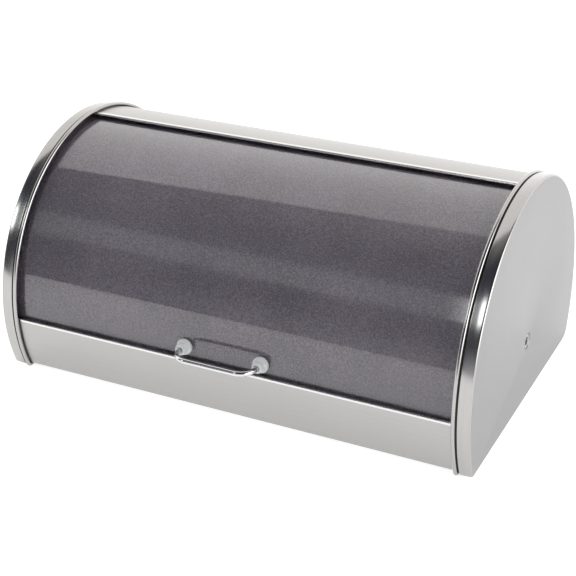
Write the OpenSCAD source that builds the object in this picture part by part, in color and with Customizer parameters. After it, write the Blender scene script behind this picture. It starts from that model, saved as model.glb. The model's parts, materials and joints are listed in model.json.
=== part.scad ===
// Roll-top bread bin: two pressed end caps clamp a bent steel shell, and a smoked lid on two
// side arms rolls back under the top panel.
// X is the width, -Y the front, +Z up. The bin stands on z = 0.

/* [Overall size] */
// Width over the faces of the two end caps
body_w = 390; // [260:1:480]
// Radius of an end cap's front, about the lid's pivot
cap_r = 128; // [105:1:160]
// Height of the lid's pivot above the underside of the end caps
pivot_h = 51.5; // [38:0.5:75]
// How much smaller the radius of the back is than the radius of the front
back_drop = 2.5; // [1:0.5:5]
// Radius of the bottom corner at the back
heel_r = 12; // [6:1:25]
// Radius of the bottom corner at the front
toe_r = 4; // [3.5:0.5:8]
// Gap between the end caps' beads and the table
ground_gap = 0.5; // [0.3:0.1:3]

/* [Steel sheet] */
// Thickness of the steel sheet
sheet = 0.6; // [0.4:0.1:1]
// Length of an end cap's rim, from its face to the middle of its bead
cap_depth = 12.5; // [11.5:0.5:25]
// Radius of the rolled bead on an end cap's edge
bead_r = 1.6; // [1.2:0.1:2.5]
// How far the middle of the bead lies below the rim's outer surface
bead_sink = 0.3; // [0.1:0.1:0.8]
// Gap between the bead and the shell that it clamps
seam_gap = 0.1; // [0.05:0.05:0.3]
// Gap between the shell's ends and the end caps' faces
end_gap = 0.2; // [0.1:0.1:1]
// Thickness of the hems along the opening
hem_t = 1.8; // [1.4:0.1:2.4]
// Width of the hems along the opening
hem_w = 8; // [5:0.5:15]
// Angle of the top panel's front edge, up from the front about the pivot
top_edge_angle = 91; // [80:0.5:93]
// Angle of the apron's top edge, up from the front about the pivot
apron_angle = -2.7; // [-8:0.1:5]
// Distance of the seam under the bin from the back bottom corner
seam_back = 20; // [12:1:40]
// Width of the strip that is spot-welded over that seam
strip_w = 20; // [12:1:30]

/* [Lid] */
// Thickness of the smoked lid
lid_t = 3; // [2:0.5:4]
// Gap between the lid and the inside of the back
lid_clear = 0.7; // [0.5:0.1:2]
// Angle of the lid's bottom edge when it is shut
lid_low_angle = -3; // [-5:0.5:0]
// Angle of the lid's top edge when it is shut
lid_high_angle = 96; // [93:0.5:100]
// How far the lid rolls back
open_angle = 84; // [60:1:84]
// Thickness of the side arms
arm_t = 1; // [0.8:0.1:1.5]
// Width of the arms' two spokes and of their outer band
spoke_w = 14; // [8:1:22]
// Radius of the arms' hubs
hub_r = 14; // [9:1:20]
// Width of the arms' flanges under the lid
arm_flange_w = 12.8; // [8:0.2:20]
// Thickness of the glue between the lid and the arms
glue_t = 0.1; // [0.05:0.05:0.3]

/* [Pivots] */
// Radius of the dimple in an end cap's face
dimple_r = 6.8; // [6.2:0.1:8]
// Depth of that dimple
dimple_depth = 1.5; // [1.2:0.1:2.5]
// Outside radius of the eyelet that the lid turns on
eyelet_r = 4; // [3:0.1:4.4]
// Thickness of the eyelet's wall
eyelet_wall = 0.7; // [0.4:0.1:1.2]
// Radius of the eyelet's two flanges
eyelet_flange_r = 5.4; // [5:0.1:5.6]
// Thickness of the eyelet's two flanges
eyelet_flange_t = 0.8; // [0.6:0.1:1]
// Radial clearance of the arm on the eyelet
run_gap = 0.06; // [0.03:0.01:0.1]
// Radial clearance of the fixed pieces on the eyelet
fit_gap = 0.05; // [0.03:0.01:0.1]
// Side play of the arm between its two washers
side_play = 0.2; // [0.1:0.05:0.4]
// Thickness of the washer between end cap and arm
outer_washer_t = 3; // [2:0.25:5]
// Thickness of the washer inside the arm
inner_washer_t = 1; // [0.8:0.1:2]
// Radius of the washers
washer_r = 7.5; // [6.5:0.5:10]

/* [Stops and feet] */
// Radius of the rubber stops that the arms land on
stop_r = 4; // [3:0.5:6]
// Distance of the stops from the pivot
stop_reach = 105; // [70:1:108]
// Gap left at a stop
stop_gap = 0.3; // [0.2:0.1:0.6]
// Length of the rubber stops
stop_len = 8; // [7.5:0.5:12]
// Radius of the feet
foot_r = 8; // [6:0.5:12]
// Distance of the feet from the end caps' faces
foot_side = 30; // [22:1:60]
// Distance of the feet from the floor's front and back corners
foot_in = 16; // [12:1:30]

/* [Handle] */
// Distance between the handle's two legs
handle_w = 64; // [48:1:160]
// Angle of the handle's legs, up from the front about the pivot
handle_angle = 2; // [1:0.5:12]
// Distance of the handle's bar from the lid
handle_out = 21.3; // [18:0.1:40]
// Diameter of the handle's rod
rod_d = 4; // [3:0.5:6]
// Radius of the handle's bends
bend_r = 12; // [8:1:12]
// Diameter of a spacer's flange against the lid
spacer_flange_d = 12.5; // [10:0.5:16]
// Thickness of that flange
spacer_flange_t = 3.2; // [2:0.1:4]
// Diameter of a spacer's collar
spacer_collar_d = 8.4; // [8:0.1:9.5]
// Length of a spacer's collar
spacer_collar_l = 5.2; // [3:0.1:5.6]
// Rounding of the spacers' edges
spacer_edge_r = 0.8; // [0.3:0.1:0.9]
// Radial clearance of the rod in its spacers and in the lid
rod_gap = 0.15; // [0.05:0.05:0.4]
// Diameter of the handle's inner washers
nut_washer_d = 10; // [9:0.5:14]
// Thickness of the handle's inner washers
nut_washer_t = 0.8; // [0.5:0.1:1.5]
// Width of the handle's nuts across their flats
nut_w = 7; // [6.8:0.1:10]
// Height of the handle's nuts
nut_h = 3.2; // [2.5:0.1:5]

/* [Hidden] */
$fn = 120;
steel = "#c6c7c6";
chrome = "#e4e4e6";
smoke = "#6f666c";
nylon = "#dcdcd6";
rubber = "#2b2b2d";

// Side view: the outline's heights, radii and corner centres
bead_out = bead_r - bead_sink;
base_z = bead_out + ground_gap;
pivot_z = base_z + pivot_h;
back_z = pivot_z + back_drop;
back_r = cap_r - back_drop;
shell_inset = bead_r + bead_sink + seam_gap;
lid_r = back_r - shell_inset - sheet - lid_clear;
bar_r = lid_r + handle_out;
front_reach = max(bar_r * cos(handle_angle) + rod_d / 2, cap_r + bead_out);
back_reach = back_r + bead_out;
pivot_y = hundredths((front_reach - back_reach) / 2);
toe_angle = asin((pivot_h - toe_r) / (cap_r - toe_r));
heel_angle = asin((pivot_h + back_drop - heel_r) / (back_r - heel_r));
toe_y = pivot_y - (cap_r - toe_r) * cos(toe_angle);
heel_y = pivot_y + (back_r - heel_r) * cos(heel_angle);
seam_y = heel_y - seam_back;
floor_z = base_z + shell_inset;
far = 2 * cap_r;
lap = 1;

// Along the width: the faces of what sits on the right-hand pivot, from the outside in
face_x = body_w / 2;
bead_x = face_x - cap_depth;
shell_end_x = face_x - sheet - end_gap;
dimple_floor_x = face_x - dimple_depth;
dimple_back_x = dimple_floor_x - sheet;
arm_outer_x = dimple_back_x - outer_washer_t - side_play;
arm_inner_x = arm_outer_x - arm_t;
inner_washer_x = arm_inner_x - side_play - inner_washer_t;
eyelet_end_x = inner_washer_x - eyelet_flange_t;
arm_r = lid_r - lid_t - glue_t;
eyelet_bore_r = eyelet_r - eyelet_wall;

// Angles in the side view run from the back, over the top, to the front
lid_low = 180 - lid_low_angle;
lid_high = 180 - lid_high_angle;
top_edge = 180 - top_edge_angle;
apron_edge = 180 - apron_angle;
hem_span = hem_w / cap_r * 180 / PI;
stop_step = asin((stop_r + stop_gap) / stop_reach);

// Rod's inner end and the seats of the handle's hardware, as distances from the pivot
lid_inner_r = lid_r - lid_t;
nut_seat_r = hundredths(sqrt(pow(lid_inner_r, 2) - pow(nut_washer_d / 2, 2)));
nut_r = nut_seat_r - nut_washer_t;
rod_end_r = nut_r - nut_h - 0.6;
handle_x = handle_w / 2;

// Distance from the pivot to the outline drawn in by inset, at a side-view angle
function reach(angle, inset) = angle >= 90 ? cap_r - inset
    : back_drop * sin(angle) + sqrt(pow(back_r - inset, 2) - pow(back_drop * cos(angle), 2));
function hundredths(length) = floor(100 * length) / 100;
function polar(r, angle) = [r * cos(angle), r * sin(angle)];

// Turns a drawing of the side view upright: its x becomes Y, its y becomes Z, its height X
module side_view() {
    rotate([90, 0, 90]) children();
}

module at_pivot() {
    translate([pivot_y, pivot_z]) children();
}

// Wedge between two angles, out to the distance reach_r and beyond
module wedge(from, to, reach_r) {
    steps = 4;
    polygon(concat([[0, 0]], [for (i = [0:steps]) polar(1.3 * reach_r, from + (to - from) * i / steps)]));
}

module ring(outer, inner) {
    difference() {
        circle(outer);
        circle(inner);
    }
}

// Filled side outline of the bin, drawn in from the end caps' edge: a front arc about the pivot
// and a smaller back arc, which lap a little so that they join
module outline(inset) {
    difference() {
        union() {
            intersection() {
                at_pivot() circle(cap_r - inset);
                translate([pivot_y - far, base_z + inset]) square([far, 2 * far]);
            }
            intersection() {
                translate([pivot_y, back_z]) circle(back_r - inset);
                translate([pivot_y - lap, base_z + inset]) square([far, 2 * far]);
            }
        }
        translate([toe_y, base_z + toe_r]) wedge(180 + toe_angle, 270, 3 * toe_r);
        translate([heel_y, base_z + heel_r]) wedge(-90, -heel_angle, 3 * heel_r);
    }
    translate([toe_y, base_z + toe_r]) circle(toe_r - inset);
    translate([heel_y, base_z + heel_r]) circle(heel_r - inset);
}

module outline_band(outer_inset, inner_inset) {
    difference() {
        outline(outer_inset);
        outline(inner_inset);
    }
}

module dimple() {
    floor_r = dimple_r - 0.8;
    at_pivot() rotate_extrude() polygon([[dimple_r, face_x], [floor_r, dimple_floor_x],
        [eyelet_r + fit_gap, dimple_floor_x], [eyelet_r + fit_gap, dimple_back_x],
        [floor_r, dimple_back_x], [dimple_r, face_x - sheet]]);
}

// The bead's round section is stepped, each step a band [half width, half depth] of its radius
module bead() {
    for (step = [[0.4, 1], [0.75, 0.75], [1, 0.4]] * bead_r)
        translate([0, 0, bead_x - step[0]]) linear_extrude(2 * step[0])
            outline_band(bead_sink - step[1], bead_sink + step[1]);
}

module end_cap() {
    color(steel) side_view() {
        translate([0, 0, bead_x]) linear_extrude(cap_depth) outline_band(0, sheet);
        translate([0, 0, face_x - sheet]) linear_extrude(sheet) difference() {
            outline(0);
            at_pivot() circle(dimple_r);
        }
        bead();
        dimple();
    }
}

// Band of the shell from an edge's rounded hem to the seam, behind or in front of it
module shell_panel(edge, side, seam) {
    middle = reach(edge, shell_inset + hem_t / 2);
    top_corner = side > 0 ? [[far, far]] : [];
    color(steel) side_view() translate([0, 0, -shell_end_x]) linear_extrude(2 * shell_end_x) {
        intersection() {
            outline_band(shell_inset, shell_inset + sheet);
            at_pivot() polygon(concat([[0, 0], polar(far, edge)], top_corner,
                [[side * far, -far], [seam - pivot_y, -far], [seam - pivot_y, -pivot_h / 2]]));
        }
        intersection() {
            outline_band(shell_inset, shell_inset + hem_t);
            at_pivot() wedge(edge - side * hem_span, edge, cap_r);
        }
        at_pivot() translate(polar(middle, edge)) circle(hem_t / 2);
    }
}

module top_back_panel() {
    shell_panel(top_edge, 1, seam_y + seam_gap);
}

module front_base_panel() {
    shell_panel(apron_edge, -1, seam_y - seam_gap);
}

module seam_strip() {
    color(steel) translate([-shell_end_x, seam_y - strip_w / 2, floor_z + sheet])
        cube([2 * shell_end_x, strip_w, sheet]);
}

// Moves to the handle's height on the lid, with z running out from the pivot
module on_lid(x) {
    translate([0, pivot_y, pivot_z]) rotate([-handle_angle, 0, 0]) translate([x, 0, 0])
        rotate([90, 0, 0]) children();
}

module both_legs() {
    for (side = [-1, 1]) on_lid(side * handle_x) children();
}

module lid_section(outer, inner) {
    at_pivot() intersection() {
        ring(outer, inner);
        wedge(lid_high, lid_low, cap_r);
    }
}

module lid_panel() {
    color(smoke) difference() {
        side_view() translate([0, 0, -arm_outer_x]) linear_extrude(2 * arm_outer_x) {
            lid_section(lid_r, lid_inner_r);
            for (edge = [lid_low, lid_high])
                at_pivot() translate(polar(lid_r - lid_t / 2, edge)) circle(lid_t / 2);
        }
        both_legs() translate([0, 0, arm_r - lid_t]) cylinder(h = 3 * lid_t, r = rod_d / 2 + rod_gap);
    }
}

// Opening in an arm's plate, between its two spokes and its outer band
module arm_window() {
    difference() {
        intersection() {
            circle(arm_r - spoke_w);
            rotate(lid_high) translate([-far, spoke_w]) square([2 * far, far]);
            rotate(lid_low) translate([-far, -far - spoke_w]) square([2 * far, far]);
        }
        circle(hub_r);
    }
}

module arm_plate() {
    difference() {
        union() {
            intersection() {
                circle(arm_r);
                wedge(lid_high, lid_low, cap_r);
            }
            circle(hub_r);
        }
        arm_window();
        circle(eyelet_r + run_gap);
    }
}

module lid_arm() {
    color(steel) side_view() {
        translate([0, 0, arm_inner_x]) linear_extrude(arm_t) at_pivot() arm_plate();
        translate([0, 0, arm_outer_x - arm_flange_w]) linear_extrude(arm_flange_w - arm_t / 2)
            lid_section(arm_r, arm_r - arm_t);
    }
}

module eyelet_flange(x) {
    rounding = eyelet_flange_t / 2;
    translate([eyelet_bore_r, x]) square([eyelet_flange_r - rounding - eyelet_bore_r, eyelet_flange_t]);
    translate([eyelet_flange_r - rounding, x + rounding]) circle(rounding);
}

module pivot_eyelet() {
    color(chrome) side_view() at_pivot() rotate_extrude() {
        translate([eyelet_bore_r, eyelet_end_x])
            square([eyelet_r - eyelet_bore_r, dimple_floor_x - eyelet_end_x + eyelet_flange_t / 2]);
        eyelet_flange(dimple_floor_x);
        eyelet_flange(eyelet_end_x);
    }
}

module pivot_washer(x, thickness) {
    color(nylon) side_view() at_pivot() translate([0, 0, x]) linear_extrude(thickness)
        ring(washer_r, eyelet_r + fit_gap);
}

module outer_washer() {
    pivot_washer(dimple_back_x - outer_washer_t, outer_washer_t);
}

module inner_washer() {
    pivot_washer(inner_washer_x, inner_washer_t);
}

module handle_bend() {
    rotate([90, 0, 0]) rotate_extrude(angle = 90) translate([bend_r, 0]) circle(rod_d / 2);
}

module handle_bar() {
    straight = handle_x - bend_r;
    color(chrome) {
        both_legs() translate([0, 0, rod_end_r]) cylinder(h = bar_r - bend_r - rod_end_r, r = rod_d / 2);
        on_lid(straight) translate([0, 0, bar_r - bend_r]) handle_bend();
        on_lid(-straight) translate([0, 0, bar_r - bend_r]) rotate([0, -90, 0]) handle_bend();
        on_lid(-straight) translate([0, 0, bar_r]) rotate([0, 90, 0])
            cylinder(h = 2 * straight, r = rod_d / 2);
    }
}

// Half section of a spacer's step: a disc with a rounded outer edge
module step_profile(r, from, to) {
    bore = rod_d / 2 + rod_gap;
    translate([bore, from]) square([r - bore, to - from - spacer_edge_r]);
    translate([bore, from]) square([r - bore - spacer_edge_r, to - from]);
    translate([r - spacer_edge_r, to - spacer_edge_r]) circle(spacer_edge_r);
}

module handle_spacer(side) {
    color(nylon) on_lid(side * handle_x) translate([0, 0, lid_r]) rotate_extrude() {
        step_profile(spacer_flange_d / 2, 0, spacer_flange_t);
        step_profile(spacer_collar_d / 2, spacer_flange_t - spacer_edge_r, spacer_flange_t + spacer_collar_l);
    }
}

module handle_washer(side) {
    color(steel) on_lid(side * handle_x) translate([0, 0, nut_r]) linear_extrude(nut_washer_t)
        ring(nut_washer_d / 2, rod_d / 2 + rod_gap);
}

module handle_nut(side) {
    color(steel) on_lid(side * handle_x) translate([0, 0, nut_r - nut_h]) difference() {
        cylinder(h = nut_h, d = nut_w / cos(30), $fn = 6);
        translate([0, 0, -nut_h]) cylinder(h = 3 * nut_h, r = rod_d / 2 + seam_gap);
    }
}

// Rubber stop beside the arm's edge, at a side-view angle
module stop(angle) {
    color(rubber) side_view() translate([0, 0, face_x - sheet - stop_len]) at_pivot()
        translate(polar(stop_reach, angle)) cylinder(h = stop_len, r = stop_r);
}

module front_stop() {
    stop(lid_low + stop_step);
}

module back_stop() {
    stop(lid_high - open_angle - stop_step);
}

module foot(side, y) {
    chamfer = 0.8;
    color(rubber) translate([side * (face_x - foot_side), y, 0]) {
        cylinder(h = chamfer, r1 = foot_r - chamfer, r2 = foot_r);
        translate([0, 0, chamfer]) cylinder(h = floor_z - chamfer, r = foot_r);
    }
}

module left() {
    mirror([1, 0, 0]) children();
}

left() end_cap();  // left_end_cap
end_cap();  // right_end_cap
top_back_panel();
front_base_panel();
seam_strip();
lid_panel();
left() lid_arm();  // left_lid_arm
lid_arm();  // right_lid_arm
left() pivot_eyelet();  // left_pivot_eyelet
pivot_eyelet();  // right_pivot_eyelet
left() outer_washer();  // left_outer_washer
outer_washer();  // right_outer_washer
left() inner_washer();  // left_inner_washer
inner_washer();  // right_inner_washer
handle_bar();
handle_spacer(-1);  // left_handle_spacer
handle_spacer(1);  // right_handle_spacer
handle_washer(-1);  // left_handle_washer
handle_washer(1);  // right_handle_washer
handle_nut(-1);  // left_handle_nut
handle_nut(1);  // right_handle_nut
left() front_stop();  // front_left_stop
front_stop();  // front_right_stop
left() back_stop();  // back_left_stop
back_stop();  // back_right_stop
foot(-1, toe_y + foot_in);  // front_left_foot
foot(1, toe_y + foot_in);  // front_right_foot
foot(-1, heel_y - foot_in);  // back_left_foot
foot(1, heel_y - foot_in);  // back_right_foot
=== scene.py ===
"""Roll-top bread bin: brushed steel shell between two pressed end caps, and a smoked lid that
rolls back under the top panel. Metres; X is the width, -Y the front, +Z up."""

import json
import math

import bmesh
import bpy
from bpy.props import FloatProperty, FloatVectorProperty, PointerProperty
from mathutils import Matrix, Vector


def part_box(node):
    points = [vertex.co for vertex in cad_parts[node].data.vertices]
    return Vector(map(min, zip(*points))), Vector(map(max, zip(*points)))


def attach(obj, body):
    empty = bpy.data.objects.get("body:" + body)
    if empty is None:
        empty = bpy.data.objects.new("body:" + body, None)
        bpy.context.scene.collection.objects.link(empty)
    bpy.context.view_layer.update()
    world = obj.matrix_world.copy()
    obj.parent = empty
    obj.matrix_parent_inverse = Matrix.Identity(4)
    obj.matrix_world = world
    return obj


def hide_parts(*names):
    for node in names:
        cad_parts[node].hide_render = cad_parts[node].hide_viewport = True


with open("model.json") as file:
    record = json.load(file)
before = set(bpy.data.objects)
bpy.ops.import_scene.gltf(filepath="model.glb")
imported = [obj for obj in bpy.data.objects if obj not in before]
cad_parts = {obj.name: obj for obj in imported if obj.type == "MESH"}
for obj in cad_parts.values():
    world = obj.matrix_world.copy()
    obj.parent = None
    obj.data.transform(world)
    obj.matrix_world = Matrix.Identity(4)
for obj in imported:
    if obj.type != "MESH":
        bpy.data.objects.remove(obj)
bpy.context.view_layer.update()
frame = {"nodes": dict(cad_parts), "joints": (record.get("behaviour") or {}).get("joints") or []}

bl_info = {
    "name": "Bread Bin",
    "version": (1, 0, 0),
    "blender": (4, 5, 0),
    "location": "3D View > Sidebar > Bread Bin",
    "description": "Builds a roll-top bread bin around its packed frame",
    "category": "Add Mesh",
}

MM = 0.001
FINE_CHORD = 0.6 * MM
LATHE_STEPS = 64
DIMPLE_STEPS = 96
TABLE_REACH = 6.0
NODES = frame["nodes"]
PIVOT = Vector(frame["joints"][0]["pos_m"])


def side_size(node, axis, side):
    """How far a node reaches along an axis: side 0 is its low end and 1 its high end"""
    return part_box(node)[side][axis]


# What the frame says about the places that the finished pieces meet
FACE_X = side_size("right_end_cap", 0, 1)
CAP_EDGE_X = side_size("right_end_cap", 0, 0)
CAP_TOP_Z = side_size("right_end_cap", 2, 1)
CAP_LOW_Z = side_size("right_end_cap", 2, 0)
SHELL_X = side_size("top_back_panel", 0, 1)
SHELL_LOW_Z = side_size("front_base_panel", 2, 0)
SEAM_Y = (side_size("seam_strip", 1, 0) + side_size("seam_strip", 1, 1)) / 2
LID_X = side_size("lid_panel", 0, 1)
LID_REACH = PIVOT.y - side_size("lid_panel", 1, 0)
EYELET_IN_X = side_size("right_pivot_eyelet", 0, 0)
HANDLE_X = (side_size("right_handle_spacer", 0, 0) + side_size("right_handle_spacer", 0, 1)) / 2

# How far a brushed grain is squeezed along X, Y and Z: it runs the way of the small numbers
ACROSS_WIDTH = (9.0, 3200.0, 3200.0)
UP_FACE = (3200.0, 3200.0, 11.0)
ROUND_RIM = (2600.0, 9.0, 9.0)
ROUND_ARM = (2600.0, 30.0, 30.0)

# Each lamp's name, place, size and energy
LAMPS = (("overhead", (-0.30, 0.0, 1.5), 1.6, 10.0), ("front_fill", (-0.5, -1.7, 0.95), 1.4, 7.0))
CAMERA_AIM = Vector((0.0, -1.8 * MM, 121.5 * MM))
LAMP_AIM = Vector((0, 0, 0.1))


# ---------------------------------------------------------------- sizes and finishes


def length(name, description, millimetres, **extra):
    """A length that a user may change, stated in millimetres and kept in metres"""
    return FloatProperty(name=name, description=description, default=millimetres * MM,
                         unit="LENGTH", **extra)


def share(name, description, default):
    return FloatProperty(name=name, description=description, default=default, subtype="FACTOR",
                         min=0.0, max=1.0)


def colour(name, description, default):
    return FloatVectorProperty(name=name, description=description, default=default,
                               subtype="COLOR", size=3, min=0.0, max=1.0)


def angle(name, description, degrees):
    return FloatProperty(name=name, description=description, default=math.radians(degrees),
                         subtype="ANGLE")


class BinSizes(bpy.types.PropertyGroup):
    """Sizes of the finished pieces"""

    bead_r: length("Bead radius", "Radius of the rolled bead on an end cap's edge", 1.6)
    bead_sink: length("Bead sink", "How far the bead's middle lies below the rim", 0.3)
    fold_r: length("Fold radius", "Outside radius of the fold between face and rim", 1.5)
    groove: length("Crease depth", "Depth of the crease between rim and bead", 0.9)
    crease_w: length("Crease width", "Width of that crease", 1.15)
    sheet: length("Sheet", "Thickness of the steel sheet", 0.6)
    back_drop: length("Back drop", "How much smaller the back's radius is", 2.5)
    heel_r: length("Heel radius", "Radius of the bottom corner at the back", 12)
    toe_r: length("Toe radius", "Radius of the bottom corner at the front", 4)
    hem_t: length("Hem thickness", "Thickness of the hems along the opening", 2.5)
    hem_w: length("Hem width", "Width of the hems along the opening", 8)
    top_nose: length("Top nose", "How far the top hem's edge rounds over", 1.6)
    apron_nose: length("Apron nose", "How far the apron hem's edge rounds over", 0.4)
    top_edge: angle("Top edge", "Angle of the top panel's front edge above the front", 91)
    apron_edge: angle("Apron edge", "Angle of the apron's top edge above the front", -2.7)
    dimple_r: length("Dimple radius", "Radius of the dimple in an end cap's face", 6.8)
    dimple_depth: length("Dimple depth", "Depth of that dimple", 1.5)
    lid_t: length("Lid thickness", "Thickness of the smoked lid", 3)
    lid_low: angle("Lid bottom edge", "Angle of the shut lid's bottom edge", -3)
    lid_high: angle("Lid top edge", "Angle of the shut lid's top edge", 96)
    eyelet_bore_r: length("Eyelet bore", "Radius of the hole through an eyelet", 3.3)
    eyelet_r: length("Eyelet radius", "Outside radius of an eyelet's neck", 4)
    eyelet_flange_r: length("Eyelet flange", "Radius of an eyelet's two flanges", 5.4)
    eyelet_flange_t: length("Eyelet flange thickness", "Thickness of those flanges", 0.8)
    handle_tilt: angle("Handle tilt", "Angle of the handle's legs above the front", 2)
    rod_d: length("Rod diameter", "Diameter of the handle's rod", 4)
    rod_in: length("Rod inside", "Length of rod inside the lid's outer surface", 8)
    handle_out: length("Handle reach", "Distance of the handle's bar from the lid", 21.3)
    bend_r: length("Bend radius", "Radius of the handle's bends", 12)
    spacer_flange_d: length("Spacer flange", "Diameter of a spacer's flange", 12.5)
    spacer_flange_t: length("Spacer flange thickness", "Thickness of that flange", 3.2)
    spacer_collar_d: length("Spacer collar", "Diameter of a spacer's collar", 8.4)
    spacer_collar_l: length("Spacer collar length", "Length of that collar", 5.2)


class BinFinishes(bpy.types.PropertyGroup):
    """Colours and roughness of the finishes"""

    steel: colour("Steel", "Colour of the brushed steel", (0.41, 0.404, 0.398))
    # The faces' steel is darker than the rims' steel: painted shade for the dimmer light on the flat faces
    face: colour("Face steel", "Colour of the end caps' faces", (0.29, 0.286, 0.29))
    # The crease colour is painted shade: the crease beside a bead is the rim's steel, darkened where shade
    # falls
    crease: colour("Crease", "Colour of the steel in the crease beside a bead", (0.055, 0.05, 0.045))
    # The bright steel is painted highlight: the hems' rounded edges are the panels' steel, made lighter to
    # show the highlight along them
    bright: colour("Bright steel", "Colour of the steel's polished edges", (0.64, 0.635, 0.63))
    chrome: colour("Chrome", "Colour of the chromed handle", (0.62, 0.62, 0.63))
    smoke: colour("Smoke", "Tint of the smoked lid", (0.25, 0.218, 0.27))
    spacer: colour("Spacer", "Colour of the handle's plastic spacers", (0.50, 0.51, 0.51))
    nylon: colour("Nylon", "Colour of the pivots' washers", (0.75, 0.74, 0.70))
    rubber: colour("Rubber", "Colour of the feet and stops", (0.022, 0.022, 0.024))
    panel_roughness: share("Panel roughness", "Roughness of the shell's panels", 0.34)
    face_roughness: share("Face roughness", "Roughness of the end caps' faces", 0.36)
    rim_roughness: share("Rim roughness", "Roughness of the end caps' rims", 0.17)
    frost: share("Frost", "Roughness of the lid's inner face", 0.38)
    haze: share("Haze", "Share of light that the frosted face scatters", 0.55)


class BinStudio(bpy.types.PropertyGroup):
    """Camera and light"""

    azimuth: angle("Azimuth", "Camera's angle round to the right of the front", 26.36)
    elevation: angle("Elevation", "Camera's angle above the table", 24.26)
    roll: angle("Roll", "Camera's roll", -0.664)
    distance: length("Distance", "Camera's distance from the point it aims at", 1136.1)
    lens: FloatProperty(name="Lens", description="Focal length in millimetres", default=90.6)
    shift: FloatProperty(name="Shift", description="Vertical lens shift", default=-0.118)
    tent: FloatProperty(name="Tent", description="Brightness of the tent behind", default=1.33)
    dark: FloatProperty(name="Dark", description="Brightness of the dark front", default=0.07)
    side: FloatProperty(name="Side", description="Brightness of the right side", default=3.2)
    window: FloatProperty(name="Window", description="Brightness of the front strip", default=4.5)


def sizes():
    return bpy.context.scene.bread_bin_sizes


def finishes():
    return bpy.context.scene.bread_bin_finishes


def studio():
    return bpy.context.scene.bread_bin_studio


# ---------------------------------------------------------------- node trees


class Value:
    """One output of a node; an expression on it adds Math nodes"""

    def __init__(self, tree, socket):
        self.tree = tree
        self.socket = socket

    def _math(self, operation, first, second):
        return self.tree.add("ShaderNodeMath", {"operation": operation}, {0: first, 1: second})

    def __add__(self, other):
        return self._math("ADD", self, other)

    __radd__ = __add__

    def __sub__(self, other):
        return self._math("SUBTRACT", self, other)

    def __rsub__(self, other):
        return self._math("SUBTRACT", other, self)

    def __mul__(self, other):
        return self._math("MULTIPLY", self, other)

    __rmul__ = __mul__


class Tree:
    """Adds nodes to a shader, world or geometry tree, by type, settings and inputs"""

    def __init__(self, nodes, links):
        self.nodes = nodes
        self.links = links

    def add(self, kind, settings=None, inputs=None, output=0):
        """Makes a node, fills its inputs with values or links, and returns one of its outputs"""
        node = self.nodes.new(kind)
        for name, value in (settings or {}).items():
            setattr(node, name, value)
        for name, value in (inputs or {}).items():
            self.feed(node.inputs[name], value)
        return Value(self, node.outputs[output]) if node.outputs else None

    def feed(self, socket, value):
        if isinstance(value, list):
            for each in value:
                self.feed(socket, each)
        elif isinstance(value, Value):
            self.links.new(value.socket, socket)
        else:
            socket.default_value = value

    def smooth(self, value, low, high, to_low=0.0, to_high=1.0):
        """Eases from to_low to to_high as value goes from low to high"""
        return self.add("ShaderNodeMapRange", {"interpolation_type": "SMOOTHSTEP"},
                        {"Value": value, "From Min": low, "From Max": high,
                         "To Min": to_low, "To Max": to_high})

    def band(self, value, rise, fall):
        """1 between two limits, easing in over rise and out over fall"""
        return self.smooth(value, *rise) * (1.0 - self.smooth(value, *fall))

    def noise(self, vector, scale, detail=2.0, roughness=0.5):
        return self.add("ShaderNodeTexNoise", {"noise_dimensions": "3D"},
                        {"Vector": vector, "Scale": scale, "Detail": detail, "Roughness": roughness})

    def blend(self, factor, first, second):
        return self.add("ShaderNodeMix", {"data_type": "RGBA"},
                        {0: factor, 6: first, 7: second}, output=2)


def tint(level, red, green, blue):
    """A colour of light, which may be brighter than 1"""
    return (level * red, level * green, level * blue, 1.0)


def rgba(rgb, gain=1.0):
    return (*[min(1.0, channel * gain) for channel in rgb], 1.0)


# ---------------------------------------------------------------- finishes


def new_material(name):
    """An empty material and the helper that fills its tree"""
    material = bpy.data.materials.new(name)
    material.use_nodes = True
    material.node_tree.nodes.clear()
    return material, Tree(material.node_tree.nodes, material.node_tree.links)


def object_grain(tree, stretch):
    """Object coordinates scaled by stretch, so that a pattern draws out along the small scales"""
    place = tree.add("ShaderNodeTexCoord", output="Object")
    return tree.add("ShaderNodeMapping", {"vector_type": "POINT"}, {"Vector": place, "Scale": stretch})


def finish(tree, settings):
    """Ends a material in one Principled shader"""
    shader = tree.add("ShaderNodeBsdfPrincipled", inputs=settings)
    tree.add("ShaderNodeOutputMaterial", inputs={"Surface": shader})


def bump(tree, height, depth):
    """Turns a height into a Normal, with its depth in metres"""
    return tree.add("ShaderNodeBump", inputs={"Height": height, "Distance": depth})


def brushed_steel(name, base, roughness, stretch, depth, streak=0.05):
    """Steel with fine scratches drawn out along the axes where stretch is small"""
    material, tree = new_material(name)
    fine = tree.noise(object_grain(tree, stretch), 1.0, detail=3.0, roughness=0.65)
    broad_stretch = tuple(scale / 7 for scale in stretch)
    broad = tree.noise(object_grain(tree, broad_stretch), 1.0, detail=2.0)
    cloud = tree.noise(tree.add("ShaderNodeTexCoord", output="Object"), 14.0, detail=3.0)
    lines = fine * 0.65 + broad * 0.35
    tone = tree.smooth(lines * 0.8 + cloud * 0.2, 0.30, 0.70)
    finish(tree, {
        "Base Color": tree.blend(tone, rgba(base, 1 - streak), rgba(base, 1 + streak)),
        "Metallic": 1.0,
        "Roughness": tree.smooth(lines * 0.7 + cloud * 0.3, 0.25, 0.75, roughness * 0.86,
                                 roughness * 1.14),
        "Normal": bump(tree, fine, depth),
    })
    return material


def panel_steel():
    return brushed_steel("shell_steel", finishes().steel, finishes().panel_roughness,
                         ACROSS_WIDTH, 0.000006)


# The hems' rounded edges: the panel steel painted lighter as a highlight
def hem_highlight_steel():
    return brushed_steel("hem_highlight_steel", finishes().bright, finishes().rim_roughness,
                         ACROSS_WIDTH, 0.000002)


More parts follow.
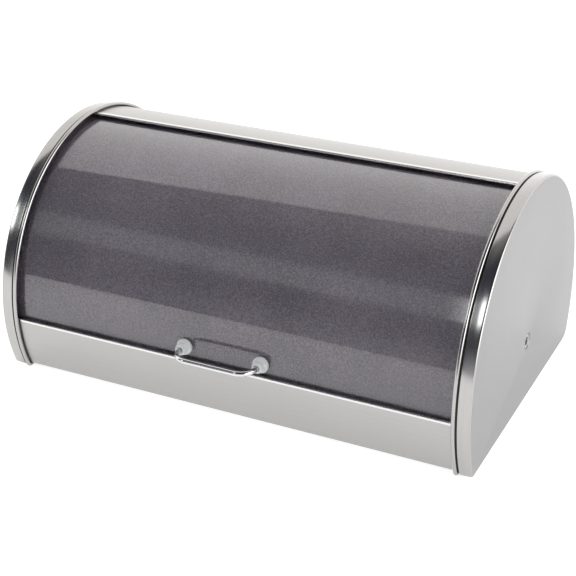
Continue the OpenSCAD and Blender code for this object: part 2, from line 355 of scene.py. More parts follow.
# The caps' faces are the rims' steel painted darker, as painted shade
def face_shaded_steel():
    return brushed_steel("cap_face_steel", finishes().face, finishes().face_roughness,
                         UP_FACE, 0.000004, streak=0.03)


def rim_steel():
    return brushed_steel("cap_rim_steel", finishes().steel, finishes().rim_roughness,
                         ROUND_RIM, 0.000004, streak=0.04)


def crease_painted_shade():
    """Dull steel, painted dark: painted shade for the crease beside a bead"""
    return brushed_steel("crease_painted_shade", finishes().crease, 0.5, ROUND_ARM, 0.000004)


def arm_steel():
    return brushed_steel("arm_steel", finishes().steel, finishes().panel_roughness,
                         ROUND_ARM, 0.000004)


def plated_steel():
    """Bright zinc plating with a faint mottle"""
    material, tree = new_material("plated_steel")
    mottle = tree.noise(tree.add("ShaderNodeTexCoord", output="Object"), 900.0, detail=4.0)
    base = finishes().steel
    finish(tree, {
        "Base Color": tree.blend(mottle, rgba(base, 0.85), rgba(base, 1.1)),
        "Metallic": 1.0,
        "Roughness": tree.smooth(mottle, 0.3, 0.7, 0.24, 0.4),
        "Normal": bump(tree, mottle, 0.00001),
    })
    return material


def handle_chrome():
    """Polished plating with a very slight ripple"""
    material, tree = new_material("handle_chrome")
    place = tree.add("ShaderNodeTexCoord", output="Object")
    ripple = tree.noise(place, 260.0, detail=2.0)
    wipe = tree.noise(place, 60.0, detail=4.0)
    base = finishes().chrome
    finish(tree, {
        "Base Color": tree.blend(wipe, rgba(base, 0.95), rgba(base, 1.03)),
        "Metallic": 1.0,
        "Roughness": tree.smooth(wipe, 0.3, 0.7, 0.07, 0.13),
        "Normal": bump(tree, ripple, 0.000012),
    })
    return material


def smoked_gloss():
    """Polished outer face and edges of the smoked lid"""
    material, tree = new_material("smoked_gloss")
    wipe = tree.noise(tree.add("ShaderNodeTexCoord", output="Object"), 40.0, detail=3.0)
    finish(tree, {
        "Base Color": (0.97, 0.96, 0.97, 1.0),
        "Roughness": tree.smooth(wipe, 0.3, 0.7, 0.015, 0.04),
        "IOR": 1.49,
        "Transmission Weight": 1.0,
        "Coat Weight": 0.7,
        "Coat Roughness": 0.02,
    })
    return material


def smoked_frost():
    """Frosted inner face of the smoked lid, with a fine sparkling grain"""
    material, tree = new_material("smoked_frost")
    place = tree.add("ShaderNodeTexCoord", output="Object")
    grain = tree.noise(place, 800.0, detail=2.0, roughness=0.7)
    cloud = tree.noise(place, 18.0, detail=3.0)
    smoke = finishes().smoke
    frost = finishes().frost
    speck = tree.smooth(grain * 0.8 + cloud * 0.2, 0.38, 0.66)
    finish(tree, {
        "Base Color": tree.blend(speck, rgba(smoke, 0.55), rgba(smoke, 1.5)),
        "Roughness": tree.smooth(grain, 0.3, 0.7, frost * 0.85, frost * 1.15),
        "IOR": 1.49,
        "Transmission Weight": 1.0 - finishes().haze,
        "Normal": bump(tree, grain, 0.00008),
    })
    return material


def moulded(name, base, roughness, scale, depth, subsurface=0.0):
    """Moulded plastic or rubber with a fine texture and a little unevenness"""
    material, tree = new_material(name)
    place = tree.add("ShaderNodeTexCoord", output="Object")
    skin = tree.noise(place, scale, detail=3.0)
    cloud = tree.noise(place, scale / 12, detail=2.0)
    finish(tree, {
        "Base Color": tree.blend(cloud, rgba(base, 0.93), rgba(base, 1.06)),
        "Roughness": tree.smooth(skin, 0.3, 0.7, roughness * 0.88, roughness * 1.12),
        "Subsurface Weight": subsurface,
        "Subsurface Radius": (0.002, 0.002, 0.002),
        "Normal": bump(tree, skin, depth),
    })
    return material


def spacer_plastic():
    return moulded("spacer_plastic", finishes().spacer, 0.34, 1600.0, 0.000006, subsurface=0.25)


def washer_nylon():
    return moulded("washer_nylon", finishes().nylon, 0.45, 1400.0, 0.00001)


def stop_rubber():
    return moulded("stop_rubber", finishes().rubber, 0.62, 1100.0, 0.00003)


def foot_rubber():
    return moulded("foot_rubber", finishes().rubber, 0.7, 900.0, 0.00004)


def table_top():
    """Plain white sweep"""
    material, tree = new_material("table_top")
    cloud = tree.noise(tree.add("ShaderNodeTexCoord", output="Object"), 3.0, detail=2.0)
    finish(tree, {
        "Base Color": tree.blend(cloud, (0.60, 0.60, 0.60, 1.0), (0.62, 0.62, 0.62, 1.0)),
        "Roughness": 0.9,
        "Emission Color": (1.0, 1.0, 1.0, 1.0),
        "Emission Strength": 0.74,
    })
    return material


MAKERS_OF_FINISH = {
    "shell_steel": panel_steel, "hem_highlight_steel": hem_highlight_steel, "cap_face": face_shaded_steel, "cap_rim": rim_steel,
    "crease_painted_shade": crease_painted_shade, "arm_steel": arm_steel, "plated_steel": plated_steel,
    "handle_chrome": handle_chrome, "smoked_gloss": smoked_gloss, "smoked_frost": smoked_frost,
    "spacer_plastic": spacer_plastic, "washer_nylon": washer_nylon, "stop_rubber": stop_rubber,
    "foot_rubber": foot_rubber, "table_top": table_top,
}
_finishes = {}


def finish_of(name):
    """One material for each finish, made when it is first asked for"""
    if name not in _finishes:
        _finishes[name] = MAKERS_OF_FINISH[name]()
    return _finishes[name]


# ---------------------------------------------------------------- the side view


def polar(centre, radius, degrees):
    """Point (y, z) at an angle up from +Y, turning over the top to the front"""
    turn = math.radians(degrees)
    return (centre[0] + radius * math.cos(turn), centre[1] + radius * math.sin(turn))


def arc(centre, radius, start, end, chord=1.6 * MM):
    """Points of an arc in the side view, from one angle to another, in degrees"""
    span = math.radians(abs(end - start)) * radius
    count = max(6, math.ceil(span / chord))
    return [polar(centre, radius, start + (end - start) * i / count) for i in range(count + 1)]


class Outline:
    """The end cap's edge in the side view: front and back arcs, two corners and a flat base"""

    def __init__(self):
        s = sizes()
        bead_out = s.bead_r - s.bead_sink
        self.pivot = (PIVOT.y, PIVOT.z)
        self.cap_r = CAP_TOP_Z - bead_out - PIVOT.z
        self.base_z = CAP_LOW_Z + bead_out
        self.back_r = self.cap_r - s.back_drop
        self.back = (PIVOT.y, PIVOT.z + s.back_drop)
        rise = PIVOT.z - self.base_z
        self.toe_angle = math.degrees(math.asin((rise - s.toe_r) / (self.cap_r - s.toe_r)))
        drop = rise + s.back_drop - s.heel_r
        self.heel_angle = math.degrees(math.asin(drop / (self.back_r - s.heel_r)))
        toe = polar(self.pivot, self.cap_r - s.toe_r, 180 + self.toe_angle)
        heel = polar(self.back, self.back_r - s.heel_r, -self.heel_angle)
        self.toe = (toe[0], self.base_z + s.toe_r)
        self.heel = (heel[0], self.base_z + s.heel_r)

    def inset_of(self, y, z):
        """Roughly how far inside the outline a point lies"""
        if y < self.pivot[0]:
            return min(self.cap_r - math.dist((y, z), self.pivot), z - self.base_z)
        return min(self.back_r - math.dist((y, z), self.back), z - self.base_z)

    def heel_arc(self, inset):
        return arc(self.heel, sizes().heel_r - inset, -90, -self.heel_angle)

    def back_arc(self, inset, end=90.0):
        return arc(self.back, self.back_r - inset, -self.heel_angle, end)

    def front_arc(self, inset, start=90.0):
        return arc(self.pivot, self.cap_r - inset, start, 180 + self.toe_angle)

    def toe_arc(self, inset):
        return arc(self.toe, sizes().toe_r - inset, 180 + self.toe_angle, 270, FINE_CHORD)

    def all_round(self, inset):
        """The whole outline, from the back end of the base round over the top"""
        return (self.heel_arc(inset) + self.back_arc(inset)[1:] + self.front_arc(inset)[1:]
                + self.toe_arc(inset)[1:])


def without_repeats(points):
    kept = []
    for point in points:
        if not kept or math.dist(point, kept[-1]) > 1e-7:
            kept.append(point)
    if math.dist(kept[0], kept[-1]) < 1e-7:
        kept.pop()
    return kept


# ---------------------------------------------------------------- meshes


def new_object(name, vertices, edges=(), faces=()):
    mesh = bpy.data.meshes.new(name)
    mesh.from_pydata([Vector(v) for v in vertices], list(edges), list(faces))
    made = bpy.data.objects.new(name, mesh)
    bpy.context.scene.collection.objects.link(made)
    return made


def outward(mesh):
    """Merges doubles and turns every face outwards"""
    bm = bmesh.new()
    bm.from_mesh(mesh)
    bmesh.ops.remove_doubles(bm, verts=bm.verts, dist=1e-7)
    bmesh.ops.recalc_face_normals(bm, faces=bm.faces)
    bm.to_mesh(mesh)
    bm.free()


def shade(mesh, crease=32):
    """Smooth shading that stays sharp at creases"""
    mesh.shade_smooth()
    mesh.set_sharp_from_angle(angle=math.radians(crease))


def settle(made, body, slot, replaced, *finish_names):
    """Gives a piece its finish and says which body it rides on and which node it stands for"""
    if finish_names:
        made.data.materials.clear()
        for name in finish_names:
            made.data.materials.append(finish_of(name))
    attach(made, body)
    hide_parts(*replaced)


def geometry_group(name, inputs):
    """An empty geometry tree with named inputs, its helper and its Group Input node"""
    group = bpy.data.node_groups.new(name, "GeometryNodeTree")
    group.is_modifier = True
    group.interface.new_socket("Geometry", in_out="INPUT", socket_type="NodeSocketGeometry")
    for label, kind in inputs:
        group.interface.new_socket(label, in_out="INPUT", socket_type=kind)
    group.interface.new_socket("Geometry", in_out="OUTPUT", socket_type="NodeSocketGeometry")
    tree = Tree(group.nodes, group.links)
    source = group.nodes.new("NodeGroupInput")
    return group, tree, {socket.name: Value(tree, socket) for socket in source.outputs if socket.name}


def end_group(tree, geometry, material):
    """Realizes what the tree made, gives it its material and ends the tree"""
    real = tree.add("GeometryNodeRealizeInstances", inputs={"Geometry": geometry})
    painted = tree.add("GeometryNodeSetMaterial", inputs={"Geometry": real, "Material": material})
    tree.add("NodeGroupOutput", inputs={"Geometry": painted})


def grown(host, group, values):
    """Runs a geometry tree on host with these inputs and keeps the result as a plain mesh"""
    modifier = host.modifiers.new(group.name, "NODES")
    modifier.node_group = group
    for item in group.interface.items_tree:
        if item.item_type == "SOCKET" and item.in_out == "INPUT" and item.name in values:
            modifier[item.identifier] = values[item.name]
    host.update_tag()
    bpy.context.view_layer.update()
    graph = bpy.context.evaluated_depsgraph_get()
    mesh = bpy.data.meshes.new_from_object(host.evaluated_get(graph), depsgraph=graph)
    host.modifiers.remove(modifier)
    host.data = mesh
    outward(mesh)
    shade(mesh)
    return host


def drawn_section_group():
    """Draws a closed section, given in the side view, along the bin's width"""
    group, tree, given = geometry_group("drawn_section", [
        ("Half Width", "NodeSocketFloat"), ("Material", "NodeSocketMaterial")])
    left = tree.add("ShaderNodeCombineXYZ", inputs={"X": 0.0 - given["Half Width"]})
    right = tree.add("ShaderNodeCombineXYZ", inputs={"X": given["Half Width"]})
    width = tree.add("GeometryNodeCurvePrimitiveLine", inputs={"Start": left, "End": right})
    path = tree.add("GeometryNodeSetCurveNormal", {"mode": "Z_UP"}, {"Curve": width})
    section = tree.add("GeometryNodeMeshToCurve", inputs={"Mesh": given["Geometry"]})
    drawn = tree.add("GeometryNodeCurveToMesh", inputs={
        "Curve": path, "Profile Curve": section, "Fill Caps": True})
    end_group(tree, drawn, given["Material"])
    return group


def swept_rod_group():
    """Sweeps a round rod along a path of edges"""
    group, tree, given = geometry_group("swept_rod", [
        ("Radius", "NodeSocketFloat"), ("Material", "NodeSocketMaterial")])
    path = tree.add("GeometryNodeMeshToCurve", inputs={"Mesh": given["Geometry"]})
    round_section = tree.add("GeometryNodeCurvePrimitiveCircle", inputs={
        "Resolution": 32, "Radius": given["Radius"]})
    swept = tree.add("GeometryNodeCurveToMesh", inputs={
        "Curve": path, "Profile Curve": round_section, "Fill Caps": True})
    end_group(tree, swept, given["Material"])
    return group


def outline_sweep_group():
    """Sweeps another object's profile along a closed outline drawn flat"""
    group, tree, given = geometry_group("outline_sweep", [
        ("Profile", "NodeSocketObject"), ("Material", "NodeSocketMaterial")])
    outline = tree.add("GeometryNodeMeshToCurve", inputs={"Mesh": given["Geometry"]})
    path = tree.add("GeometryNodeSetCurveNormal", {"mode": "Z_UP"}, {"Curve": outline})
    drawing = tree.add("GeometryNodeObjectInfo", inputs={"Object": given["Profile"]}, output="Geometry")
    profile = tree.add("GeometryNodeMeshToCurve", inputs={"Mesh": drawing})
    swept = tree.add("GeometryNodeCurveToMesh", inputs={"Curve": path, "Profile Curve": profile})
    end_group(tree, swept, given["Material"])
    return group


def polyline(name, points, closed):
    """An object of edges along points, for a geometry tree to follow"""
    count = len(points)
    edges = [(i, (i + 1) % count) for i in range(count if closed else count - 1)]
    return new_object(name, points, edges)


def drawn_along_width(name, section, half_width, finish_name):
    """A piece with a constant section in the side view"""
    # A sweep along X lays its profile's X along -Y and its Y along -Z
    host = polyline(name, [(-y, -z, 0.0) for y, z in without_repeats(section)], closed=True)
    values = {"Half Width": half_width, "Material": finish_of(finish_name)}
    return grown(host, drawn_section_group(), values)


# ---------------------------------------------------------------- end caps


def cap_profile():
    """Section of an end cap's edge, as (distance outwards from the outline, distance along X)"""
    s = sizes()
    fold, sheet = s.fold_r, s.sheet
    ledge = 0.5 * MM
    bead_x = CAP_EDGE_X + s.bead_r
    quarter = [i * math.pi / 12 for i in range(7)]
    outer_fold = [(-fold + fold * math.sin(a), FACE_X - fold + fold * math.cos(a)) for a in quarter]
    inner = fold - sheet
    inner_fold = [(-fold + inner * math.sin(a), FACE_X - fold + inner * math.cos(a))
                  for a in reversed(quarter)]
    # The crease beside the bead, the bead rolled over from it, and the same way back inside
    edge = bead_x + s.bead_r
    wall = edge + s.crease_w
    crease = [(0.0, wall + 0.5 * MM), (-0.06 * MM, wall + 0.25 * MM), (-0.3 * MM, wall + 0.1 * MM),
              (-s.groove, wall), (-s.groove - 0.2 * MM, edge + 0.3 * MM)]
    turns = [math.radians(t) for t in range(-25, 206, 10)]
    over = [(-s.bead_sink + s.bead_r * math.sin(t), bead_x + s.bead_r * math.cos(t)) for t in turns]
    hollow_r = s.bead_r - sheet
    under = [(-s.bead_sink + hollow_r * math.sin(t), bead_x + hollow_r * math.cos(t))
             for t in reversed(turns)]
    back = [(-s.groove - 0.5 * MM, edge - 0.4 * MM), (-s.groove - 0.8 * MM, edge + 0.3 * MM),
            (-s.groove - sheet, wall + sheet), (-sheet, wall + sheet + 0.3 * MM)]
    return ([(-fold - ledge, FACE_X)] + outer_fold + crease + over + under + back + inner_fold
            + [(-fold - ledge, FACE_X - sheet)])


def dimple_profile():
    """Section of the dimple and its hole, as (radius, distance along X), from face to back"""
    s = sizes()
    floor_x = FACE_X - s.dimple_depth
    floor_r = s.dimple_r - 0.8 * MM
    lip = 0.45 * MM
    hole = s.eyelet_r + 0.05 * MM
    rounding = [(s.dimple_r + lip * (1 - math.sin(a)), FACE_X - lip * (1 - math.cos(a)))
                for a in [i * math.pi / 10 for i in range(5)]]
    front = rounding + [(floor_r + 0.25 * MM, floor_x + 0.35 * MM),
                        (floor_r + 0.05 * MM, floor_x + 0.08 * MM),
                        (floor_r - 0.25 * MM, floor_x), (hole, floor_x)]
    back = [(hole, floor_x - s.sheet), (floor_r, floor_x - s.sheet), (s.dimple_r, FACE_X - s.sheet)]
    return front + back


def lathe(bm, profile, centre, steps, closed):
    """Turns (radius, x) points about the pivots' axis and returns the rings"""
    rings = []
    for radius, x in profile:
        ring = [bm.verts.new((x, *polar(centre, radius, 360 * i / steps))) for i in range(steps)]
        rings.append(ring)
    pairs = list(zip(rings, rings[1:] + rings[:1] if closed else rings[1:]))
    for low, high in pairs:
        for i in range(steps):
            j = (i + 1) % steps
            bm.faces.new((low[i], low[j], high[j], high[i]))
    return rings


def ring_edges(bm, ring):
    return [bm.edges.get((ring[i], ring[(i + 1) % len(ring)])) for i in range(len(ring))]


def end_cap(side):
    """Sweeps the rim and bead round the outline, then closes the face round the dimple"""
    name = f"{side}_end_cap"
    outline = without_repeats(Outline().all_round(0.0))
    profile = polyline("rim_profile", [(u, -x, 0.0) for u, x in cap_profile()], closed=False)
    host = polyline(name + "_finished", [(y, z, 0.0) for y, z in outline], closed=True)
    grown(host, outline_sweep_group(), {"Profile": profile, "Material": finish_of("cap_rim")})
    bpy.data.objects.remove(profile)
    # The flat sweep is stood up: its X becomes Y, its Y becomes Z and its height X
    host.data.transform(Matrix(((0, 0, 1, 0), (1, 0, 0, 0), (0, 1, 0, 0), (0, 0, 0, 1))))
    bm = bmesh.new()
    bm.from_mesh(host.data)
    open_edges = [e for e in bm.edges if e.is_boundary]
    rings = lathe(bm, dimple_profile(), Outline().pivot, DIMPLE_STEPS, closed=False)
    for x, ring in ((FACE_X, rings[0]), (FACE_X - sizes().sheet, rings[-1])):
        border = [e for e in open_edges if abs(e.verts[0].co.x - x) < 1e-6]
        filled = bmesh.ops.triangle_fill(bm, edges=border + ring_edges(bm, ring), use_beauty=True)
        if not [g for g in filled["geom"] if isinstance(g, bmesh.types.BMFace)]:
            raise RuntimeError(f"the face of {name} didn't close")
    if side == "left":
        bmesh.ops.scale(bm, vec=(-1, 1, 1), verts=bm.verts)
    bmesh.ops.recalc_face_normals(bm, faces=bm.faces)
    bm.to_mesh(host.data)
    bm.free()
    settle(host, "shell", "cap_steel", [name], "cap_rim", "cap_face", "crease_painted_shade")
    edge = CAP_EDGE_X + 2 * sizes().bead_r
    for polygon in host.data.polygons:
        # The flat faces and the dimple take the darker face steel, painted shade
        flat = abs(polygon.normal.x) > 0.999
        reach = math.hypot(polygon.center.y - PIVOT.y, polygon.center.z - PIVOT.z)
        near_pivot = reach < sizes().dimple_r + 3 * MM
        # Faces in the crease beside the bead take the near-black crease steel, a painted shade line
        beside_bead = -0.05 * MM < abs(polygon.center.x) - edge < sizes().crease_w + 0.08 * MM
        in_crease_shade = beside_bead and Outline().inset_of(polygon.center.y, polygon.center.z) > 0.2 * MM
        polygon.material_index = 2 if in_crease_shade else 1 if flat or near_pivot else 0
    shade(host.data)


# ---------------------------------------------------------------- shell


def hem_tip(centre, reach, edge, turn, nose):
    """Middle of a hem's edge and its half oval: turn is 1 or -1, the way that it faces"""
    r = sizes().hem_t / 2
    middle = polar(centre, reach - r, edge)
    oval = []
    for t in range(0, 181, 15):
        y, z = polar(middle, r * math.cos(math.radians(t)), edge)
        oval.append(polar((y, z), nose * math.sin(math.radians(t)), edge + turn * 90))
    return middle, oval


def top_back_section():
    """Closed section of the top and back panel, and the middle of its hem's rounded edge"""
    s = sizes()
    outline = Outline()
    inset = SHELL_LOW_Z - outline.base_z
    radius = outline.back_r - inset
    edge = 180 - math.degrees(s.top_edge + (s.top_nose - s.hem_t / 2) / radius)
    hem_span = math.degrees(s.hem_w / radius)
    gap = 0.1 * MM
    outer = [(SEAM_Y + gap, SHELL_LOW_Z)] + outline.heel_arc(inset) + outline.back_arc(inset, edge)[1:]
    middle, tip = hem_tip(outline.back, radius, edge, 1, s.top_nose)
    hem = arc(outline.back, radius - s.hem_t, edge, edge - hem_span)
    step = arc(outline.back, radius - s.sheet, edge - hem_span - 0.3, -outline.heel_angle)
    inner = step + outline.heel_arc(inset + s.sheet)[::-1] + [(SEAM_Y + gap, SHELL_LOW_Z + s.sheet)]
    return outer + tip + hem + inner, middle


def front_base_section():
    """Closed section of the apron and base, and the middle of its hem's rounded edge"""
    s = sizes()
    outline = Outline()
    inset = SHELL_LOW_Z - outline.base_z
    radius = outline.cap_r - inset
    edge = 180 - math.degrees(s.apron_edge - (s.apron_nose - s.hem_t / 2) / radius)
    hem_span = math.degrees(s.hem_w / radius)
    gap = 0.1 * MM
    outer = outline.front_arc(inset, edge) + outline.toe_arc(inset)[1:] + [(SEAM_Y - gap, SHELL_LOW_Z)]
    inner = ([(SEAM_Y - gap, SHELL_LOW_Z + s.sheet)] + outline.toe_arc(inset + s.sheet)[::-1]
             + arc(outline.pivot, radius - s.sheet, 180 + outline.toe_angle, edge + hem_span + 0.3))
    hem = arc(outline.pivot, radius - s.hem_t, edge + hem_span, edge)
    middle, tip = hem_tip(outline.pivot, radius, edge, -1, s.apron_nose)
    return outer + inner + hem + tip[::-1], middle


# ---------------------------------------------------------------- operators


class BinOperator:
    """What every step shares"""

    bl_options = {"REGISTER", "UNDO"}


class BREADBIN_OT_end_caps(BinOperator, bpy.types.Operator):
    """Builds the two pressed end caps with their rolled beads and pivot dimples"""

    bl_idname = "breadbin.end_caps"
    bl_label = "End Caps"

    def execute(self, context):
        for side in ("left", "right"):
            end_cap(side)
        return {"FINISHED"}


class BREADBIN_OT_shell_panels(BinOperator, bpy.types.Operator):
    """Builds the two bent panels of the shell, with their hems"""

    bl_idname = "breadbin.shell_panels"
    bl_label = "Shell Panels"

    def execute(self, context):
        s = sizes()
        highlight_reach = max(s.hem_t / 2, s.top_nose, s.apron_nose)
        for node, draw in (("top_back_panel", top_back_section),
                           ("front_base_panel", front_base_section)):
            section, hem_middle = draw()
            made = drawn_along_width(node + "_finished", section, SHELL_X, "shell_steel")
            settle(made, "shell", "shell_steel", [node], "shell_steel", "hem_highlight_steel")
            for polygon in made.data.polygons:
                # The rounded hem edges take the bright steel, a painted highlight
                at_hem = math.dist((polygon.center.y, polygon.center.z), hem_middle) < highlight_reach
                polygon.material_index = 1 if at_hem and abs(polygon.normal.x) < 0.5 else 0
        return {"FINISHED"}


class BREADBIN_OT_lid(BinOperator, bpy.types.Operator):
    """Builds the curved smoked lid, polished outside and frosted inside"""

    bl_idname = "breadbin.lid"
    bl_label = "Smoked Lid"

    def execute(self, context):
        s = sizes()
        pivot = (PIVOT.y, PIVOT.z)
        low, high = (180 - math.degrees(a) for a in (s.lid_low, s.lid_high))
        middle = LID_REACH - s.lid_t / 2
        ends = [polar(pivot, middle, a) for a in (low, high)]
        section = (arc(pivot, LID_REACH, high, low)
                   + [polar(ends[0], s.lid_t / 2, low + t) for t in range(20, 180, 20)]
                   + arc(pivot, LID_REACH - s.lid_t, low, high)
                   + [polar(ends[1], s.lid_t / 2, high + 180 + t) for t in range(20, 180, 20)])
        made = drawn_along_width("lid_panel_finished", section, LID_X, "smoked_gloss")
        settle(made, "lid", "smoked_lid", ["lid_panel"], "smoked_gloss", "smoked_frost")
        for polygon in made.data.polygons:
            reach = math.hypot(polygon.center.y - PIVOT.y, polygon.center.z - PIVOT.z)
            inside = reach < LID_REACH - s.lid_t + 0.1 * MM and abs(polygon.normal.x) < 0.5
            polygon.material_index = 1 if inside else 0
        return {"FINISHED"}


def on_lid(point):
    """Places a point given as (x, height above, distance out from the pivot) on the tilted handle"""
    x, up, out = point
    tilt = sizes().handle_tilt
    return (x, PIVOT.y - out * math.cos(tilt) + up * math.sin(tilt),
            PIVOT.z + out * math.sin(tilt) + up * math.cos(tilt))


class BREADBIN_OT_handle(BinOperator, bpy.types.Operator):
    """Builds the bent rod of the handle and its two plastic spacers"""

    bl_idname = "breadbin.handle"
    bl_label = "Handle"

    def execute(self, context):
        s = sizes()
        out = LID_REACH + s.handle_out
        straight = HANDLE_X - s.bend_r
        bend = [math.radians(a) for a in range(0, 91, 6)]
        right = [(HANDLE_X, 0.0, LID_REACH - s.rod_in)]
        right += [(straight + s.bend_r * math.cos(a), 0.0, out - s.bend_r + s.bend_r * math.sin(a))
                  for a in bend]
        path = right + [(-x, up, reach) for x, up, reach in reversed(right)]
        rod = polyline("handle_bar_finished", [on_lid(p) for p in path], closed=False)
        grown(rod, swept_rod_group(), {"Radius": s.rod_d / 2, "Material": finish_of("handle_chrome")})
        settle(rod, "lid", "handle_chrome", ["handle_bar"])
        for side, name in ((-1, "left_handle_spacer"), (1, "right_handle_spacer")):
            self.spacer(name, side * HANDLE_X)
        return {"FINISHED"}

    def spacer(self, name, x):
        """A flange against the lid and a tapered collar, turned about the leg"""
        s = sizes()
        bore = s.rod_d / 2 + 0.15 * MM
        flange, collar = s.spacer_flange_d / 2, s.spacer_collar_d / 2
        flange_t, total = s.spacer_flange_t, s.spacer_flange_t + s.spacer_collar_l
        chamfer, outer_r, fillet_r, end_r = 0.3 * MM, 1.1 * MM, 0.7 * MM, 0.9 * MM
        quarter = [(math.cos(a), math.sin(a)) for a in map(math.radians, range(0, 91, 15))]
        profile = [(bore, 0.0), (flange - chamfer, 0.0), (flange, chamfer)]
        profile += [(flange - outer_r * (1 - cos), flange_t - outer_r * (1 - sin)) for cos, sin in quarter]
        profile += [(collar + fillet_r * (1 - sin), flange_t + fillet_r * (1 - cos)) for cos, sin in quarter]
        profile += [(collar - end_r * (1 - cos), total - end_r * (1 - sin)) for cos, sin in quarter]
        profile += [(bore + 0.25 * MM, total), (bore, total - 0.25 * MM)]
        bm = bmesh.new()
        lathe(bm, profile, (0.0, 0.0), LATHE_STEPS, closed=True)
        for vertex in bm.verts:
            out, across, up = vertex.co
            vertex.co = on_lid((x + across, up, LID_REACH + out))
        bmesh.ops.recalc_face_normals(bm, faces=bm.faces)
        made = new_object(name + "_finished", [])
        bm.to_mesh(made.data)
        bm.free()
        shade(made.data)
        settle(made, "lid", "spacer_plastic", [name], "spacer_plastic")


class BREADBIN_OT_pivots(BinOperator, bpy.types.Operator):
    """Builds the two rolled eyelets that the lid turns on"""

    bl_idname = "breadbin.pivots"
    bl_label = "Pivot Eyelets"

    def execute(self, context):
        s = sizes()
        outer = FACE_X - s.dimple_depth
        half = s.eyelet_flange_t / 2
        roll = [math.radians(a) for a in range(-90, 91, 15)]
        edge = s.eyelet_flange_r - half
        lip = 0.35 * MM
        head = [(edge + half * math.cos(a), outer + half + half * math.sin(a)) for a in roll]
        foot = [(edge + half * math.cos(a), EYELET_IN_X + half + half * math.sin(a)) for a in roll]
        top, hole, ease = outer + 2 * half, s.eyelet_bore_r, 0.1 * MM
        bore = [(hole + lip, top), (hole + ease, top - ease), (hole, top - lip),
                (hole, EYELET_IN_X + lip), (hole + lip, EYELET_IN_X)]
        neck = [(s.eyelet_r, EYELET_IN_X + 2 * half), (s.eyelet_r, outer)]
        profile = foot + neck + head + bore
        for side, name in ((-1, "left_pivot_eyelet"), (1, "right_pivot_eyelet")):
            bm = bmesh.new()
            lathe(bm, profile, (PIVOT.y, PIVOT.z), LATHE_STEPS, closed=True)
            bmesh.ops.scale(bm, vec=(side, 1, 1), verts=bm.verts)
            bmesh.ops.recalc_face_normals(bm, faces=bm.faces)
            made = new_object(name + "_finished", [])
            bm.to_mesh(made.data)
            bm.free()
            shade(made.data)
            settle(made, "shell", "plated_steel", [name], "plated_steel")
        return {"FINISHED"}


class BREADBIN_OT_fittings(BinOperator, bpy.types.Operator):
    """Finishes the pieces whose shape the frame already has"""

    bl_idname = "breadbin.fittings"
    bl_label = "Arms and Fittings"

    def execute(self, context):
        for end, finish_name in (("lid_arm", "arm_steel"), ("outer_washer", "washer_nylon"),
                                 ("inner_washer", "washer_nylon"), ("handle_washer", "plated_steel"),
                                 ("handle_nut", "plated_steel"), ("stop", "stop_rubber"),
                                 ("foot", "foot_rubber"), ("seam_strip", "shell_steel")):
            for name, node in NODES.items():
                if name.endswith(end):
                    node.data.materials.clear()
                    node.data.materials.append(finish_of(finish_name))
        return {"FINISHED"}


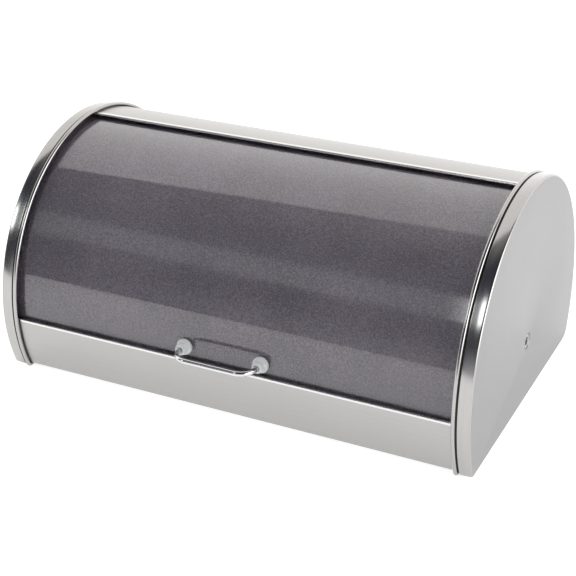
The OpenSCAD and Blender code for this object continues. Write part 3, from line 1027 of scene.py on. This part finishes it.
class BREADBIN_OT_stage(BinOperator, bpy.types.Operator):
    """Sets the table, the light and the camera"""

    bl_idname = "breadbin.stage"
    bl_label = "Stage"

    def execute(self, context):
        self.table()
        self.tent()
        self.lamps()
        self.camera()
        context.scene.view_settings.view_transform = "Standard"
        return {"FINISHED"}

    def table(self):
        r = TABLE_REACH
        corners = [(-r, -r, 0), (r, -r, 0), (r, r, 0), (-r, r, 0)]
        table = new_object("table", corners, faces=[(0, 1, 2, 3)])
        table.data.materials.append(finish_of("table_top"))

    def tent(self):
        """A bright tent behind and above, a bright side, and a dark front with a window in it"""
        look = studio()
        world = bpy.data.worlds.new("studio")
        world.use_nodes = True
        world.node_tree.nodes.clear()
        tree = Tree(world.node_tree.nodes, world.node_tree.links)
        split = world.node_tree.nodes.new("ShaderNodeSeparateXYZ")
        tree.feed(split.inputs[0], tree.add("ShaderNodeTexCoord", output="Generated"))
        x, y, z = (Value(tree, split.outputs[i]) for i in range(3))
        # The tent's front edge runs across above the bin, a little further back on the right
        edge = y - 0.45 * x - 0.278 * z
        tent = tree.smooth(edge, -0.02, 0.02)
        fringe = tree.smooth(edge, -0.45, 0.0) * tree.smooth(x, -0.5, -0.3) * 0.26
        steepness = tree.add("ShaderNodeMath", {"operation": "ARCTAN2"}, {0: z, 1: 0.0 - y})
        height = math.degrees(1) * steepness
        across = tree.band(x, (-0.78, -0.66), (-0.2, -0.08))
        # The window is dimmer in its middle, so that it shows in the rims more than in the lid
        ends = 1.0 - 0.91 * tree.band(x, (-0.60, -0.56), (-0.295, -0.27))
        strip = tree.band(height, (31, 35), (47, 52)) * across * ends
        halo_share = 0.35 - 0.29 * tree.smooth(x, -0.60, -0.56)
        halo = tree.band(height, (26, 40), (46, 64)) * across * halo_share
        horizon_share = 0.04 + 0.30 * tree.smooth(x, -0.55, -0.35)
        horizon = (1.0 - tree.smooth(height, -2, 20)) * horizon_share
        side = tree.smooth(x, 0.68, 0.80)
        low_back = (1.0 - tree.smooth(z, 0.30, 0.75)) * 0.15 + 1.0
        front = tree.blend(horizon, tint(look.dark, 0.86, 0.91, 1.11), tint(look.tent, 0.98, 0.98, 1.0))
        lit = tree.blend(halo, front, tint(look.tent, 0.85, 1.0, 1.15))
        dark = tree.blend(strip, lit, tint(look.window, 1.0, 1.0, 1.0))
        soft = tree.blend(fringe, dark, tint(look.tent, 1.0, 0.95, 0.9))
        sided = tree.blend(side, soft, tint(look.side, 1.0, 1.0, 1.0))
        light = tree.blend(tent, sided, tint(look.tent, 1.0, 0.985, 0.965))
        tree.add("ShaderNodeOutputWorld", inputs={"Surface": tree.add("ShaderNodeBackground", inputs={
            "Color": light, "Strength": low_back})})
        bpy.context.scene.world = world

    def lamps(self):
        """Broad soft lamps that lift the table and the frosted lid and aren't mirrored in the steel"""
        for name, place, size, energy in LAMPS:
            lamp = bpy.data.lights.new(name, "AREA")
            lamp.shape = "SQUARE"
            lamp.size = size
            lamp.energy = energy
            holder = bpy.data.objects.new(name, lamp)
            holder.location = place
            holder.rotation_euler = (LAMP_AIM - holder.location).to_track_quat("-Z", "Y").to_euler()
            holder.visible_glossy = False
            bpy.context.scene.collection.objects.link(holder)

    def camera(self):
        look = studio()
        a, e, roll = look.azimuth, look.elevation, look.roll
        back = Vector((math.sin(a) * math.cos(e), -math.cos(a) * math.cos(e), math.sin(e)))
        right = Vector((math.cos(a), math.sin(a), 0.0))
        up = back.cross(right)
        turned_right = math.cos(roll) * right + math.sin(roll) * up
        turned_up = -math.sin(roll) * right + math.cos(roll) * up
        lens = bpy.data.cameras.new("camera")
        lens.lens = look.lens
        lens.shift_y = look.shift
        lens.sensor_width = 36.0
        camera = bpy.data.objects.new("camera", lens)
        axes = Matrix((turned_right, turned_up, back)).transposed()
        camera.matrix_world = Matrix.Translation(CAMERA_AIM + look.distance * back) @ axes.to_4x4()
        bpy.context.scene.collection.objects.link(camera)
        bpy.context.scene.camera = camera


class BREADBIN_PT_build(bpy.types.Panel):
    """Lists the steps that build the bread bin"""

    bl_idname = "BREADBIN_PT_build"
    bl_label = "Bread Bin"
    bl_space_type = "VIEW_3D"
    bl_region_type = "UI"
    bl_category = "Bread Bin"

    def draw(self, context):
        for step in STEPS:
            self.layout.operator(step.bl_idname)


STEPS = (BREADBIN_OT_end_caps, BREADBIN_OT_shell_panels, BREADBIN_OT_lid, BREADBIN_OT_handle,
         BREADBIN_OT_pivots, BREADBIN_OT_fittings, BREADBIN_OT_stage)
GROUPS = {"bread_bin_sizes": BinSizes, "bread_bin_finishes": BinFinishes, "bread_bin_studio": BinStudio}


def register():
    for group in GROUPS.values():
        bpy.utils.register_class(group)
    for name, group in GROUPS.items():
        setattr(bpy.types.Scene, name, PointerProperty(type=group))
    for step in STEPS:
        bpy.utils.register_class(step)
    bpy.utils.register_class(BREADBIN_PT_build)


def unregister():
    bpy.utils.unregister_class(BREADBIN_PT_build)
    for step in reversed(STEPS):
        bpy.utils.unregister_class(step)
    for name, group in GROUPS.items():
        delattr(bpy.types.Scene, name)
        bpy.utils.unregister_class(group)


def main():
    """Builds everything in order"""
    register()
    for step in STEPS:
        category, name = step.bl_idname.split(".")
        getattr(getattr(bpy.ops, category), name)()


if __name__ == "__main__":
    main()
